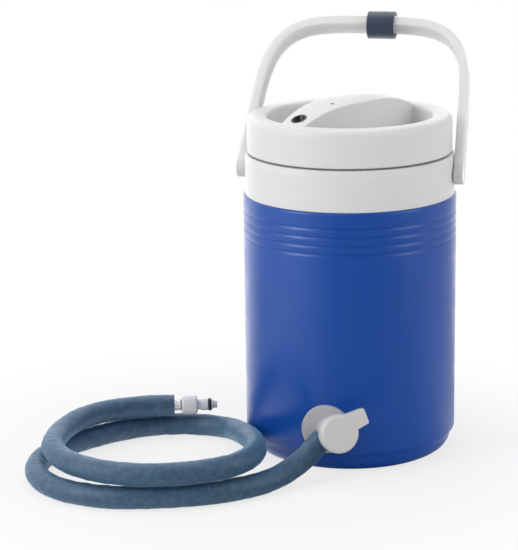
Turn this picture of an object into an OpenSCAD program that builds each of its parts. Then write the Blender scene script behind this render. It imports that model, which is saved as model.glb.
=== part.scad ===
// Insulated water jug with a pump lid, a swing handle, a drain valve and a foam-covered hose.
// Origin: centre of the base on the ground. +Z up, the handle pivots along X, the valve faces -Y.

/* [Jug] */
// Outer radius of the blue wall
jug_r = 95; // [88:1:110]
// Height of the top of the blue wall
jug_top_z = 233.5; // [210:0.5:270]
// Thickness of the blue wall
jacket_wall = 2.8; // [2:0.1:4]
// Thickness of the insulating foam in the wall
foam_t = 12.2; // [8:0.2:14]
// Thickness of the inner liner
liner_wall = 2; // [1.5:0.1:3]
// Thickness of the insulating foam under the liner
floor_foam_t = 18; // [12:0.5:26]
// Height of the base cap below the blue wall
base_h = 18; // [14:0.5:24]
// Step from the blue wall in to the base cap
base_step = 2.4; // [1:0.1:4]
// Radius of the round bottom edge of the base cap
base_round = 12.5; // [6:0.5:13]
// Thickness of the base cap floor
base_floor = 4.5; // [3.5:0.1:6]
// Depth of the ring groove under the base
foot_groove = 1.2; // [0.5:0.1:2]
// Number of grooves round the shoulder
groove_count = 4; // [1:1:8]
// Distance from one groove to the next
groove_pitch = 7.6; // [5:0.1:10]
// Distance from the top of the blue wall to the first groove
groove_drop = 14.3; // [8:0.1:25]
// Width of a groove
groove_w = 4.4; // [2:0.1:6]
// Depth of a groove
groove_d = 0.9; // [0.4:0.1:1.6]

/* [Collar] */
// Height of the white collar
collar_h = 36.1; // [30:0.1:46]
// Step from the blue wall in to the collar
collar_step = 1.7; // [0.5:0.1:3]
// Thickness of the collar
collar_wall = 2.8; // [2:0.1:4]
// Gap between the filling neck and the lid skirt
neck_gap = 3.7; // [2:0.1:5]
// Thickness of the neck wall
neck_wall = 3.5; // [2.5:0.1:4]
// Radius of the pivot bosses behind the collar
boss_r = 8; // [7:0.1:9]

/* [Lid] */
// Gap between the collar and the lid skirt
lid_gap = 1.4; // [0.8:0.1:3]
// Step from the blue wall in to the lid
lid_step = 4; // [3:0.1:6]
// Height of the lid skirt
lid_h = 33; // [28:0.5:40]
// Thickness of the lid shell
lid_wall = 2.5; // [2:0.1:3.5]
// Radius of the round outer edge of the lid
lid_edge_r = 6; // [3:0.5:8]
// Thickness of the wall round the finger wells
well_wall = 3.5; // [3:0.1:8]
// Depth of the finger wells below the rim
well_depth = 25; // [18:0.5:26]
// Radius where the well wall meets the well floor
well_fillet = 8; // [3:0.5:12]
// Radius of the inner edge of the rim
rim_edge_r = 4; // [2:0.5:6]
// Width of the grip bridge at its middle
bridge_w = 43; // [36:1:54]
// Width of the grip bridge at its ends
bridge_end_w = 26.5; // [22:0.5:40]
// Height of the bridge crown above the rim
bridge_rise = 15.1; // [12:0.1:20]
// Height of the bridge ends above the rim
bridge_end_rise = 0.3; // [0.2:0.1:3]
// How long the bridge stays high before it drops to its ends
bridge_power = 2.5; // [2:0.1:3]
// Radius of the bridge's round top, across it
bridge_crown_r = 93; // [70:1:140]
// Direction of the bridge, from +X
bridge_angle = 59.7; // [0:0.1:180]
// Depth of the lid plug below the well floor
plug_depth = 16; // [15:0.5:20]
// Gap between the lid plug and the liner
plug_gap = 1; // [0.6:0.1:2]
// Thickness of the lid seal
seal_t = 2.6; // [1.5:0.1:3]

/* [Pump] */
// Distance of the power socket from the edge of the wells
jack_inset = 7.8; // [7.6:0.1:14]
// Radius of the power socket body
jack_r = 6.8; // [5:0.1:8]
// Radius of the hole for the power plug
jack_bore_r = 2.9; // [2.6:0.1:3.2]
// Length of the power socket body
jack_len = 14; // [11:0.5:18]
// Place of the air vent along the bridge
vent_x = -30.4; // [-38:0.1:-20]
// Place of the air vent across the bridge
vent_y = -7.2; // [-9:0.1:9]
// Radius of the air vent
vent_r = 1.7; // [1.2:0.1:2.5]
// Radius of the pump motor
motor_r = 12; // [9:0.5:13]
// Length of the pump motor
motor_len = 28; // [20:0.5:32]
// Height of the motor axis above the lid floor
motor_h = 31; // [29:0.5:34]
// Radius of the pump head
pump_r = 13; // [10:0.5:15]
// Height of the pump head
pump_h = 12; // [9:0.5:13]
// Offset of the crank pin
crank_throw = 1.5; // [0.8:0.1:2]
// Distance of the lid screws from the centre
screw_circle_r = 60; // [54:0.5:64]
// Radius of a lid screw
screw_r = 1.6; // [1.2:0.1:2]

/* [Handle] */
// Height of the handle pivots
pivot_z = 252; // [248:0.5:254]
// Lean of the handle back from upright
handle_lean = 40.7; // [0:0.1:60]
// Distance from the pivots to the middle of the crown
handle_reach = 154.6; // [140:0.1:175]
// Height along the handle where its corners start
shoulder = 50; // [40:1:70]
// How far the legs come in at the shoulders
leg_draw_in = 2.6; // [0:0.1:3]
// Squareness of the handle's corners
corner_power = 4; // [2.2:0.1:4.5]
// Part by which the handle narrows from the shoulders to the crown
crown_draw_in = 0.04; // [0:0.01:0.1]
// Thickness of the handle
handle_t = 8.2; // [6:0.1:10]
// Width of the handle strap
handle_w = 18; // [12:0.5:20]
// Thickness of the strap's web and flanges
strap_wall = 3; // [2:0.1:4]
// Gap between the collar and the handle's eyes
handle_gap = 0.9; // [0.6:0.1:3]
// Radius of the handle's eyes
eye_r = 9; // [8:0.5:12]
// Radius of the pivot pins
pin_r = 4.5; // [3:0.1:5]
// Running clearance of the pivot pins
pin_fit = 0.08; // [0.05:0.01:0.1]
// Place of the hose clip along the crown
clip_x = 10.5; // [-30:0.5:30]
// Length of the hose clip
clip_len = 25; // [15:0.5:32]
// Wall of the hose clip
clip_wall = 2.2; // [1.5:0.1:4]
// Angle of the hose clip's mouth
clip_mouth = 96; // [60:2:120]

/* [Valve] */
// Height of the valve's hole in the wall
valve_z = 42; // [36:0.5:60]
// Sideways place of the valve's hole
valve_x = -1.8; // [-8:0.1:8]
// Radius of the valve flange
flange_r = 21.3; // [18:0.1:24]
// Thickness of the valve flange
flange_t = 5.5; // [4:0.1:8]
// Radius of the threaded shank through the wall
shank_r = 8.4; // [7:0.1:9]
// Radius of the water way
water_r = 3.5; // [2.5:0.1:4]
// Swing of the valve barrel to the right
valve_swing = 29.5; // [15:0.5:35]
// Rise of the valve barrel
valve_rise = 9.8; // [0:0.2:12]
// Radius of the valve barrel
barrel_r = 9.4; // [8.6:0.1:10]
// Length from the wall to the front of the knob
valve_len = 40; // [38:0.5:46]
// Radius of the turning plug
plug_r = 6.5; // [6:0.1:7]
// Running clearance of the turning plug
plug_fit = 0.08; // [0.05:0.01:0.1]
// Radius of the valve knob
knob_r = 17; // [15:0.1:20]
// Thickness of the valve knob
knob_t = 10; // [8:0.5:11]
// Reach of the knob's paddle from the axis
paddle_reach = 27.5; // [24:0.5:38]
// Width of the paddle, above a line through the axis
paddle_w = 12.2; // [9:0.1:16]
// Thickness of the paddle
paddle_t = 6; // [4:0.5:8]
// Angle of the paddle from level
paddle_angle = 18; // [0:1:60]
// Distance from the wall to the hose outlet
outlet_out = 12; // [12:0.5:13]
// Direction of the hose outlet round the barrel
outlet_angle = 222; // [210:1:240]

/* [Hose] */
// Radius of the hose's foam sleeve
hose_r = 10; // [9:0.1:10]
// Radius of the hose's inner tube
tube_r = 5.2; // [4.5:0.1:5.6]
// Radius of the tube's water way
tube_bore_r = 3.4; // [3.2:0.1:3.6]
// Length of bare tube at the far end
bare_tube = 6.4; // [4:0.1:10]
// Radius of the coupling's grip
coupling_grip_r = 8.5; // [7:0.1:9.4]
// Length of the coupling's grip
coupling_grip_len = 15; // [12:0.5:18]
// Radius of the coupling's plug
coupling_plug_r = 5.3; // [4.8:0.1:6]
// Length of the coupling from grip to tip
coupling_len = 33; // [31:0.5:36]
// Travel of the coupling's shut-off poppet
poppet_travel = 2.5; // [1.5:0.1:3]

/* [Hidden] */
$fn = 64;

white = [0.87, 0.87, 0.86];
blue = [0.16, 0.32, 0.62];
navy = [0.19, 0.25, 0.36];
teal = [0.2, 0.36, 0.47];
foam_white = [0.93, 0.92, 0.86];
black = [0.08, 0.08, 0.09];
steel = [0.72, 0.73, 0.75];
clear = [0.82, 0.86, 0.88];
seal_grey = [0.35, 0.36, 0.38];
board_green = [0.1, 0.4, 0.2];

eps = 0.01;
slack = 0.2;    // gap round the loose foam and round what drops into a seat
through = 400;  // longer than any cut has to be

// Jug, from the outside in and from the ground up
jacket_in_r = jug_r - jacket_wall;
liner_out_r = jacket_in_r - foam_t;
liner_in_r = liner_out_r - liner_wall;
base_r = jug_r - base_step;
base_top_z = base_h - 0.5;
inner_floor_z = base_floor + floor_foam_t + liner_wall;
collar_r = jug_r - collar_step;
collar_top_z = jug_top_z + collar_h;
deck_z = collar_top_z - collar_wall;
jacket_neck_r = collar_r - collar_wall - slack;
jacket_neck_top_z = deck_z - liner_wall - 2;
lip_r = jacket_neck_r - 1;
boss_len = 9;
pin_len = 6;

// Lid
lid_z0 = collar_top_z + lid_gap;
rim_z = lid_z0 + lid_h;
lid_r = jug_r - lid_step;
skirt_in_r = lid_r - lid_wall;
well_floor_z = rim_z - well_depth;
shell_floor_z = well_floor_z - lid_wall;
neck_top_z = rim_z - lid_wall - seal_t - slack;
neck_out_r = skirt_in_r - neck_gap;
mouth_r = neck_out_r - neck_wall;
lid_base_z = shell_floor_z - plug_depth;
lid_floor_z = lid_base_z + lid_wall;
lid_plug_r = liner_in_r - plug_gap;
well_r = lid_plug_r - well_wall;
crown_z = rim_z + bridge_rise - bridge_crown_r;
bay_y = max(bridge_end_w / 2 + 3, motor_r + 4.2);
board_far = well_r - 17.5;
board_len = 34;
board_w = 24;
boss_drop = 9;
motor_z = lid_floor_z + motor_h;
motor_x = 9;
crank_gap = 1.6;
crank_t = 3;
rod_t = 3;
crank_pin_r = 1.4;
jack_x = jack_inset - well_r;
jack_slope = bridge_slope(jack_x);
vent_slope = bridge_slope(vent_x);

// Handle
eye_in_x = collar_r + handle_gap;
foot_half = eye_in_x + handle_t / 2;
pin_head_r = pin_r + 2;
pin_head_t = 2;
corner_steps = 22;
clip_in_r = sqrt(handle_w * handle_w + handle_t * handle_t) / 2 + 0.55;

// Valve: its own frame has +Z out along the barrel and +Y up
barrel_s = 26;
flange_front_y = jug_r + flange_t;
seat_r = 14;
seat_depth = 1.8;
seal_squeeze = 2.2;
liner_pad_r = 17;
liner_pad_y = liner_in_r - 4.5;
nut_t = 8;
nut_af = 28;
shank_in_y = liner_pad_y - seal_squeeze - nut_t - 4;
strainer_len = 14;
stem_r = 3.6;
hose_clear = 10;  // from the barrel's axis to the end of the foam sleeve

// Route of the hose from the valve, along the ground, round two laps to the coupling
route = [[-27.5, -132, 14], [-41, -152, 10.4], [-58, -172, 10.2], [-81, -190, 10.2], [-119, -207, 10.2],
    [-162, -217, 10.2], [-205, -209, 10.2], [-236, -184, 10.2], [-250, -148, 10.2], [-246, -112, 10.2],
    [-233, -82, 10.2], [-213, -54, 10.2], [-187, -30, 10.2], [-158, -17, 10.2], [-129, -16.5, 10.5],
    [-105.5, -29, 13], [-91, -54, 19], [-77.5, -80, 25], [-64, -108.5, 29], [-56, -137, 31],
    [-59, -162, 31], [-73, -184, 31], [-101, -204, 31], [-136, -214.5, 31], [-173, -212, 31],
    [-207, -194, 31], [-229, -166, 31], [-236.5, -137, 31], [-237, -106, 31], [-229.5, -75, 31],
    [-209.5, -49, 31]];
hose_end = [-160, -26, 31];
end_dir = [0.958, 0.287, 0];
straight = 20;   // straight stretch at each end of the hose
hose_sides = 10;
rings_per_step = 2;

// Small helpers
function arc(c, r, a0, a1, n = 8) = [for (i = [0:n]) let (a = a0 + (a1 - a0) * i / n)
    [c[0] + r * cos(a), c[1] + r * sin(a)]];
function unit(v) = v / norm(v);

module ring(r_out, r_in, h) {
    difference() {
        cylinder(r = r_out, h = h);
        translate([0, 0, -1]) cylinder(r = r_in, h = h + 2);
    }
}

// ---- Jug ----

module base_cap() {
    fillet_r = min(base_round, base_h - 4);
    low_r = base_r - 1.5;
    spigot_r = jacket_in_r - slack;
    floor_in_r = low_r - fillet_r;
    color(blue) rotate_extrude($fn = 128) polygon(concat(
        [[0, 0], [floor_in_r - 22, 0], [floor_in_r - 20, foot_groove], [floor_in_r - 10, foot_groove],
        [floor_in_r - 8, 0]],
        arc([floor_in_r, fillet_r], fillet_r, -90, 0),
        [[base_r, base_top_z], [spigot_r, base_top_z], [spigot_r, base_h + 8],
        [spigot_r - 2, base_h + 8], [spigot_r - 2, base_top_z - 1]],
        arc([floor_in_r, fillet_r], fillet_r - base_floor, 0, -90),
        [[0, base_floor]]));
}

module jacket_grooves() {
    for (i = [0:groove_count - 1])
        translate([0, 0, jug_top_z - groove_drop - i * groove_pitch])
            rotate_extrude($fn = 128) polygon([[jug_r - groove_d, -groove_w / 8], [jug_r, -groove_w / 2],
                [jug_r + 1, -groove_w / 2], [jug_r + 1, groove_w / 2], [jug_r, groove_w / 2],
                [jug_r - groove_d, groove_w / 8]]);
}

module boss_slots(r) {
    for (s = [-1, 1])
        translate([s * (collar_r - boss_len - 1), 0, pivot_z]) {
            rotate([0, s * 90, 0]) cylinder(r = r, h = boss_len);
            translate([s * boss_len / 2, 0, through / 4]) cube([boss_len, 2 * r, through / 2], center = true);
        }
}

module outer_jacket() {
    color(blue) difference() {
        rotate_extrude($fn = 128) polygon(concat(
            [[jacket_in_r, base_h], [jug_r - 1, base_h], [jug_r, base_h + 1]],
            arc([jug_r - 2, jug_top_z - 2], 2, 0, 90, 4),
            [[jacket_neck_r, jug_top_z], [jacket_neck_r, jacket_neck_top_z],
            [jacket_neck_r - jacket_wall, jacket_neck_top_z], [jacket_neck_r - jacket_wall, jug_top_z - 3],
            [jacket_in_r, jug_top_z - 6]]));
        jacket_grooves();
        boss_slots(boss_r + slack);
        translate([valve_x, 0, valve_z]) rotate([90, 0, 0]) {
            cylinder(r = shank_r + slack, h = through);
            translate([0, 0, jug_r - seat_depth]) cylinder(r = seat_r, h = through);
        }
    }
}

module foam_insulation() {
    neck_in_r = jacket_neck_r - jacket_wall - slack;
    fillet_r = min(base_round, base_h - 4);
    color(foam_white) difference() {
        rotate_extrude($fn = 96) polygon([[0, base_floor + slack],
            [base_r - fillet_r - 1, base_floor + slack], [base_r - base_floor - 2.1, fillet_r + 0.5],
            [jacket_in_r - 2 * slack - 2, base_top_z], [jacket_in_r - 2 * slack - 2, base_h + 8.5], [jacket_in_r - slack, base_h + 8.5],
            [jacket_in_r - slack, jug_top_z - 6.5], [neck_in_r, jug_top_z - 3.5],
            [neck_in_r, jacket_neck_top_z], [liner_out_r + slack, jacket_neck_top_z],
            [liner_out_r + slack, inner_floor_z - liner_wall - slack], [0, inner_floor_z - liner_wall - slack]]);
        boss_slots(boss_r + slack);
        translate([valve_x, 0, valve_z]) rotate([90, 0, 0]) {
            cylinder(r = shank_r + slack, h = through);
            cylinder(r = liner_pad_r + slack, h = liner_out_r + 3 + slack);
        }
    }
}

module inner_liner() {
    lip_top = deck_z - slack / 2;
    color(white) difference() {
        union() {
            rotate_extrude($fn = 128) polygon([[0, inner_floor_z - liner_wall],
                [liner_out_r - 6, inner_floor_z - liner_wall], [liner_out_r, inner_floor_z + 4],
                [liner_out_r, lip_top - liner_wall], [lip_r, lip_top - liner_wall], [lip_r, lip_top],
                [liner_in_r, lip_top], [liner_in_r, inner_floor_z + 5], [liner_in_r - 5, inner_floor_z],
                [0, inner_floor_z]]);
            translate([valve_x, 0, valve_z]) rotate([90, 0, 0]) intersection() {
                translate([0, 0, liner_pad_y]) cylinder(r = liner_pad_r, h = liner_out_r + 3 - liner_pad_y);
                translate([0, 0, liner_pad_y]) cylinder(r = through, h = through);
            }
        }
        translate([valve_x, 0, valve_z]) rotate([90, 0, 0]) cylinder(r = shank_r + slack, h = through);
    }
}

module collar() {
    color(white) difference() {
        union() {
            rotate_extrude($fn = 128) polygon(concat(
                [[collar_r - collar_wall, jug_top_z + 0.3], [collar_r, jug_top_z + 0.3]],
                [[collar_r, collar_top_z - 6]],
                arc([collar_r - 2.1, collar_top_z - 1.5], 1.5, 0, 90, 4),
                [[neck_out_r, collar_top_z], [neck_out_r, neck_top_z - 1], [neck_out_r - 1, neck_top_z],
                [mouth_r, neck_top_z], [mouth_r, deck_z], [collar_r - collar_wall, deck_z]]));
            for (s = [-1, 1])
                intersection() {
                    translate([s * (collar_r - boss_len), 0, pivot_z]) rotate([0, s * 90, 0])
                        cylinder(r = boss_r, h = boss_len);
                    translate([0, 0, jug_top_z]) cylinder(r = collar_r - 0.5, h = collar_h);
                }
        }
        for (s = [-1, 1])
            translate([s * (collar_r - pin_len), 0, pivot_z]) rotate([0, s * 90, 0]) cylinder(r = pin_r, h = through);
    }
}

// ---- Handle ----

module handle_pins() {
    color(steel) for (s = [-1, 1])
        translate([s * (collar_r - pin_len), 0, pivot_z]) rotate([0, s * 90, 0]) {
            cylinder(r = pin_r, h = pin_len + handle_gap + handle_t - pin_head_t + eps);
            translate([0, 0, pin_len + handle_gap + handle_t - pin_head_t])
                cylinder(r = pin_head_r, h = pin_head_t - 0.3);
        }
}

// Centre line of one half of the handle, from the pivot up to the middle of the crown
shoulder_half = foot_half - leg_draw_in;
function corner_point(a) = let (u = pow(sin(a), 2 / corner_power))
    [shoulder_half * pow(cos(a), 2 / corner_power) * (1 - crown_draw_in * u),
    shoulder + (handle_reach - shoulder) * u];
half_line = concat(
    [for (t = [0:shoulder / 4:shoulder - 1]) [foot_half - leg_draw_in * t / shoulder, t]],
    [for (i = [0:corner_steps]) corner_point(45 * (1 - cos(180 * i / corner_steps)))]);
full_line = concat(half_line, [for (i = [len(half_line) - 2:-1:0]) [-half_line[i][0], half_line[i][1]]]);
function line_normal(i) = let (a = full_line[max(i - 1, 0)], b = full_line[min(i + 1, len(full_line) - 1)],
    d = unit(b - a)) [d[1], -d[0]];
function offset_line(off) = [for (i = [0:len(full_line) - 1]) full_line[i] + off * line_normal(i)];
function reversed(v) = [for (i = [len(v) - 1:-1:0]) v[i]];

module strap(off_out, off_in, w) {
    rotate([90, 0, 0]) linear_extrude(height = w, center = true)
        polygon(concat(offset_line(off_out), reversed(offset_line(off_in))));
}

module on_handle() {
    translate([0, 0, pivot_z]) rotate([-handle_lean, 0, 0]) children();
}

module handle() {
    color(white) on_handle() difference() {
        union() {
            strap(handle_t / 2, -handle_t / 2, handle_w);
            for (s = [-1, 1])
                translate([s * eye_in_x, 0, 0]) rotate([0, s * 90, 0]) cylinder(r = eye_r, h = handle_t);
        }
        intersection() {
            strap(handle_t / 2 - strap_wall, -handle_t, handle_w - 2 * strap_wall);
            translate([0, 0, eye_r + 6 + handle_reach]) cube([through, through, 2 * handle_reach], center = true);
        }
        for (s = [-1, 1])
            translate([s * (eye_in_x - 1), 0, 0]) rotate([0, s * 90, 0]) {
                cylinder(r = pin_r + pin_fit, h = handle_t + 2);
                translate([0, 0, 1 + handle_t - pin_head_t - 0.1])
                    cylinder(r = pin_head_r + 0.3, h = pin_head_t + 1);
            }
    }
}

module hose_clip() {
    out_r = clip_in_r + clip_wall;
    color(navy) on_handle() translate([clip_x - clip_len / 2, 0, handle_reach]) rotate([0, 90, 0]) {
        // in this frame +X points down the handle and +Y to the back
        rotate([0, 0, 90 + handle_lean]) {
            difference() {
                ring(out_r, clip_in_r, clip_len);
                translate([0, 0, -1]) linear_extrude(height = clip_len + 2)
                    polygon([[0, 0], [40, -40 * tan(clip_mouth / 2)], [80, 0], [40, 40 * tan(clip_mouth / 2)]]);
            }
            for (s = [-1, 1])
                rotate([0, 0, s * clip_mouth / 2]) translate([clip_in_r + clip_wall / 2 + 0.5, 0, 0])
                    cylinder(r = clip_wall / 2 + 0.4, h = clip_len, $fn = 24);
        }
    }
}

// ---- Valve ----

module in_wall() {
    translate([valve_x, 0, valve_z]) rotate([90, 0, 0]) children();
}

module on_valve() {
    translate([valve_x, -jug_r, valve_z]) rotate([90 - valve_rise, 0, valve_swing]) children();
}

module at_outlet() {
    on_valve() translate([0, 0, outlet_out]) rotate([0, 0, outlet_angle]) rotate([0, 90, 0]) children();
}

module valve_body() {
    bonnet_s = barrel_s + 1.5;
    color(white) difference() {
        union() {
            in_wall() difference() {
                union() {
                    translate([0, 0, shank_in_y]) cylinder(r = shank_r, h = flange_front_y - shank_in_y);
                    translate([0, 0, jug_r - 6]) cylinder(r = flange_r, h = flange_t + 6);
                }
                translate([-valve_x, through / 2, 0]) rotate([90, 0, 0]) difference() {
                    cylinder(r = jug_r + 0.1, h = through, $fn = 128);
                    translate([valve_x, 0, through / 2]) rotate([-90, 0, 0])
                        cylinder(r = seat_r - 1, h = through, $fn = 64);
                }
            }
            on_valve() translate([0, 0, 2]) cylinder(r = barrel_r, h = barrel_s - 2);
            on_valve() translate([0, 0, barrel_s - 3]) cylinder(r = barrel_r + 1.6, h = 4.5);
            at_outlet() cylinder(r = tube_r + 2, h = hose_clear);
            at_outlet() cylinder(r = tube_bore_r - 0.5, h = hose_clear + 14);
        }
        in_wall() translate([0, 0, jug_r - 12]) ring(seat_r + 0.5, shank_r, 12 - seat_depth + seal_squeeze);
        in_wall() translate([0, 0, shank_in_y - 1]) cylinder(r = water_r + 1, h = jug_r - shank_in_y + 3.5);
        on_valve() translate([0, 0, 5]) cylinder(r = plug_r + plug_fit, h = barrel_s - 5);
        on_valve() translate([0, 0, 2]) cylinder(r = stem_r + plug_fit, h = barrel_s + 10);
        at_outlet() cylinder(r = tube_bore_r - 1.3, h = hose_clear + 20);
    }
}

module wall_seal() {
    color(seal_grey) in_wall() translate([0, 0, jug_r - seat_depth])
        ring(seat_r - 0.5, shank_r + slack, seal_squeeze);
}

module inner_seal() {
    color(seal_grey) in_wall() translate([0, 0, liner_pad_y - seal_squeeze])
        ring(liner_pad_r - 2, shank_r + slack, seal_squeeze);
}

module bulkhead_nut() {
    color(white) in_wall() translate([0, 0, liner_pad_y - seal_squeeze - nut_t]) difference() {
        cylinder(r = nut_af / 2 / cos(30), h = nut_t, $fn = 6);
        translate([0, 0, -1]) cylinder(r = shank_r, h = nut_t + 2);
    }
}

module inlet_strainer() {
    cup_r = shank_r + 2;
    color(white) in_wall() translate([0, 0, shank_in_y - strainer_len + 3]) difference() {
        cylinder(r = cup_r, h = strainer_len);
        translate([0, 0, 2]) cylinder(r = shank_r + 0.05, h = strainer_len);
        for (a = [0:45:135])
            rotate([0, 0, a]) translate([-through / 2, -1, 2.5]) cube([through, 2, strainer_len - 7]);
        cylinder(r = 2, h = 10, center = true);
    }
}

module valve_plug() {
    color(white) on_valve() difference() {
        union() {
            translate([0, 0, 5.2]) cylinder(r = plug_r, h = barrel_s - 5.6);
            translate([0, 0, barrel_s - 2]) cylinder(r = stem_r, h = valve_len - barrel_s - 2);
        }
        translate([0, 0, 4]) cylinder(r = water_r, h = outlet_out - 1);
        translate([0, 0, outlet_out]) rotate([0, 0, outlet_angle]) rotate([0, 90, 0])
            cylinder(r = water_r - 1, h = 20);
        for (z = [7.2, 18.5])
            translate([0, 0, z]) ring(plug_r + 1, plug_r - 1.2, 1.6);
    }
}

module plug_seals() {
    color(seal_grey) on_valve() for (z = [7.2, 18.5])
        translate([0, 0, z + 0.1]) ring(plug_r + 0.04, plug_r - 1.15, 1.4);
}

module valve_knob() {
    knob_s = valve_len - knob_t;
    color(white) on_valve() difference() {
        union() {
            translate([0, 0, knob_s]) cylinder(r = knob_r, h = knob_t - 2);
            translate([0, 0, valve_len - 2]) cylinder(r1 = knob_r, r2 = knob_r - 2, h = 2);
            rotate([0, 0, paddle_angle]) translate([0, 0, valve_len - paddle_t]) linear_extrude(height = paddle_t)
                polygon([[0, 0], [0, knob_r - 3], [8, knob_r - 3], [paddle_reach - 1, paddle_w + 0.4],
                    [paddle_reach, paddle_w - 0.6], [paddle_reach, -0.5], [paddle_reach - 1, -1.5],
                    [knob_r - 2, -2.8], [4, -4]]);
        }
        translate([0, 0, knob_s - 1]) cylinder(r = stem_r + 0.05, h = valve_len - 4 - knob_s + 1);
        translate([0, 0, knob_s - eps]) ring(knob_r - 2.5, stem_r + 3, 5);
    }
}

// ---- Hose ----

valve_out = let (f = valve_swing, e = valve_rise) [sin(f) * cos(e), -cos(f) * cos(e), sin(e)];
valve_right = [cos(valve_swing), sin(valve_swing), 0];
valve_up = cross(valve_right, -valve_out);
outlet_dir = cos(outlet_angle) * valve_right + sin(outlet_angle) * valve_up;
barrel_point = [valve_x, -jug_r, valve_z] + outlet_out * valve_out;
hose_start = barrel_point + hose_clear * outlet_dir;
nodes_line = concat([hose_start, hose_start + straight * outlet_dir], route,
    [hose_end - straight * end_dir, hose_end]);

function spline(p, i, t) = let (a = p[max(i - 1, 0)], b = p[i], c = p[i + 1], d = p[min(i + 2, len(p) - 1)])
    0.5 * (2 * b + t * (c - a) + t * t * (2 * a - 5 * b + 4 * c - d) + t * t * t * (3 * b - a - 3 * c + d));
inner_line = [for (i = [1:len(nodes_line) - 3]) for (k = [0:rings_per_step - 1])
    spline(nodes_line, i, k / rings_per_step)];
function hose_line(extra) = concat([nodes_line[0]], inner_line,
    [nodes_line[len(nodes_line) - 2], hose_end + extra * end_dir]);
function ring_frame(p, i) = let (last = len(p) - 1,
    t = i == 0 ? unit(p[1] - p[0]) : i == last ? unit(p[last] - p[last - 1]) :
        unit(unit(p[i + 1] - p[i]) + unit(p[i] - p[i - 1])),
    side = unit(cross(t, [0, 0, 1]))) [side, cross(side, t)];
function tube_ring(p, i, r, n) = let (f = ring_frame(p, i))
    [for (k = [0:n - 1]) p[i] + r * (cos(360 * k / n) * f[0] + sin(360 * k / n) * f[1])];

module hollow_tube(p, r_out, r_in, n) {
    m = len(p);
    pts = concat([for (i = [0:m - 1]) each tube_ring(p, i, r_out, n)],
        [for (i = [0:m - 1]) each tube_ring(p, i, r_in, n)]);
    in0 = m * n;
    last = (m - 1) * n;
    polyhedron(points = pts, faces = concat(
        [for (i = [0:m - 2]) for (k = [0:n - 1]) let (a = i * n + k, b = i * n + (k + 1) % n) each
            [[a, a + n, b + n], [a, b + n, b], [in0 + a, in0 + b + n, in0 + a + n], [in0 + a, in0 + b, in0 + b + n]]],
        [for (k = [0:n - 1]) let (a = k, b = (k + 1) % n) each
            [[a, b, in0 + b], [a, in0 + b, in0 + a],
            [last + a, in0 + last + b, last + b], [last + a, in0 + last + a, in0 + last + b]]]));
}

// Least gap of the hose to itself, between rings that are more than five rings apart
line0 = hose_line(0);
least_gap = min([for (i = [0:len(line0) - 7]) for (j = [i + 6:len(line0) - 1]) norm(line0[i] - line0[j])])
    - 2 * hose_r;
echo(least_gap_of_the_hose_to_itself = least_gap);

module hose_sleeve() {
    color(teal) hollow_tube(hose_line(0), hose_r, tube_r + 0.6, hose_sides);
}

module hose_tube() {
    color(clear) hollow_tube(hose_line(bare_tube), tube_r, tube_bore_r, 8);
}

module at_coupling() {
    start = hose_end + bare_tube * end_dir;
    translate(start) rotate([0, 0, atan2(end_dir[1], end_dir[0])]) rotate([0, 90, 0]) children();
}

coupling_bore_r = 2.7;
seal_s = coupling_len - 8.4;
tip_r = 3.4;

module coupling_body() {
    color(white) at_coupling() difference() {
        union() {
            translate([0, 0, -12]) cylinder(r = tube_bore_r - 0.5, h = 13);
            cylinder(r1 = coupling_grip_r - 0.8, r2 = coupling_grip_r, h = 1);
            translate([0, 0, 1]) cylinder(r = coupling_grip_r, h = coupling_grip_len - 2);
            translate([0, 0, coupling_grip_len - 1])
                cylinder(r1 = coupling_grip_r, r2 = coupling_grip_r - 1, h = 1);
            cylinder(r = coupling_plug_r - 0.8, h = coupling_len - 9);
            translate([0, 0, coupling_grip_len + 3]) cylinder(r = coupling_plug_r, h = seal_s - coupling_grip_len - 3);
            translate([0, 0, seal_s + 3]) cylinder(r = coupling_plug_r, h = 1.2);
            cylinder(r = tip_r, h = coupling_len);
        }
        translate([0, 0, -13]) cylinder(r = 1.9, h = 22);
        translate([0, 0, 7]) cylinder(r = coupling_bore_r, h = coupling_len);
        translate([0, 0, 4]) cylinder(r = 1.9, h = 10);
    }
}

module coupling_seal() {
    color(black) at_coupling() translate([0, 0, seal_s + 0.05]) ring(coupling_plug_r - 0.05, tip_r, 2.9);
}

module coupling_poppet() {
    color(white) at_coupling() {
        translate([0, 0, coupling_len - 3.2]) cylinder(r = coupling_bore_r - 0.06, h = 2.4);
        translate([0, 0, 7.4 + poppet_travel]) cylinder(r = 1, h = coupling_len - 9 - poppet_travel);
    }
}

module coupling_spring() {
    color(steel) at_coupling() translate([0, 0, 7]) ring(2.5, 1.3, coupling_len - 10.5 - poppet_travel);
}

// ---- Lid ----

module in_lid() {
    rotate([0, 0, bridge_angle]) children();
}

function bridge_top(x) = rim_z + bridge_rise - (bridge_rise - bridge_end_rise) * pow(abs(x) / well_r, bridge_power);
function bridge_slope(x) = atan((bridge_rise - bridge_end_rise) * bridge_power / well_r
    * pow(abs(x) / well_r, bridge_power - 1));
function bridge_half(x) = (bridge_w - (bridge_w - bridge_end_w) * pow(abs(x) / well_r, 1.2)) / 2;

// Bridge body, drawn in by t on its top and sides, from z0 up
module bridge_block(t, z0, r) {
    steps = 20;
    intersection() {
        translate([0, 0, crown_z]) rotate([0, 90, 0]) rotate_extrude($fn = 120) polygon(concat(
            [[0, -r - 1]], [for (i = [-steps:steps]) let (x = (r + 1) * i / steps) [bridge_top(x) - crown_z - t, x]],
            [[0, r + 1]]));
        translate([0, 0, z0]) linear_extrude(height = through) polygon(concat(
            [for (i = [-steps:steps]) let (x = (r + 1) * i / steps) [x, t - bridge_half(x)]],
            [for (i = [-steps:steps]) let (x = -(r + 1) * i / steps) [x, bridge_half(x) - t]]));
        translate([0, 0, z0]) cylinder(r = r, h = through, $fn = 128);
    }
}

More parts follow.
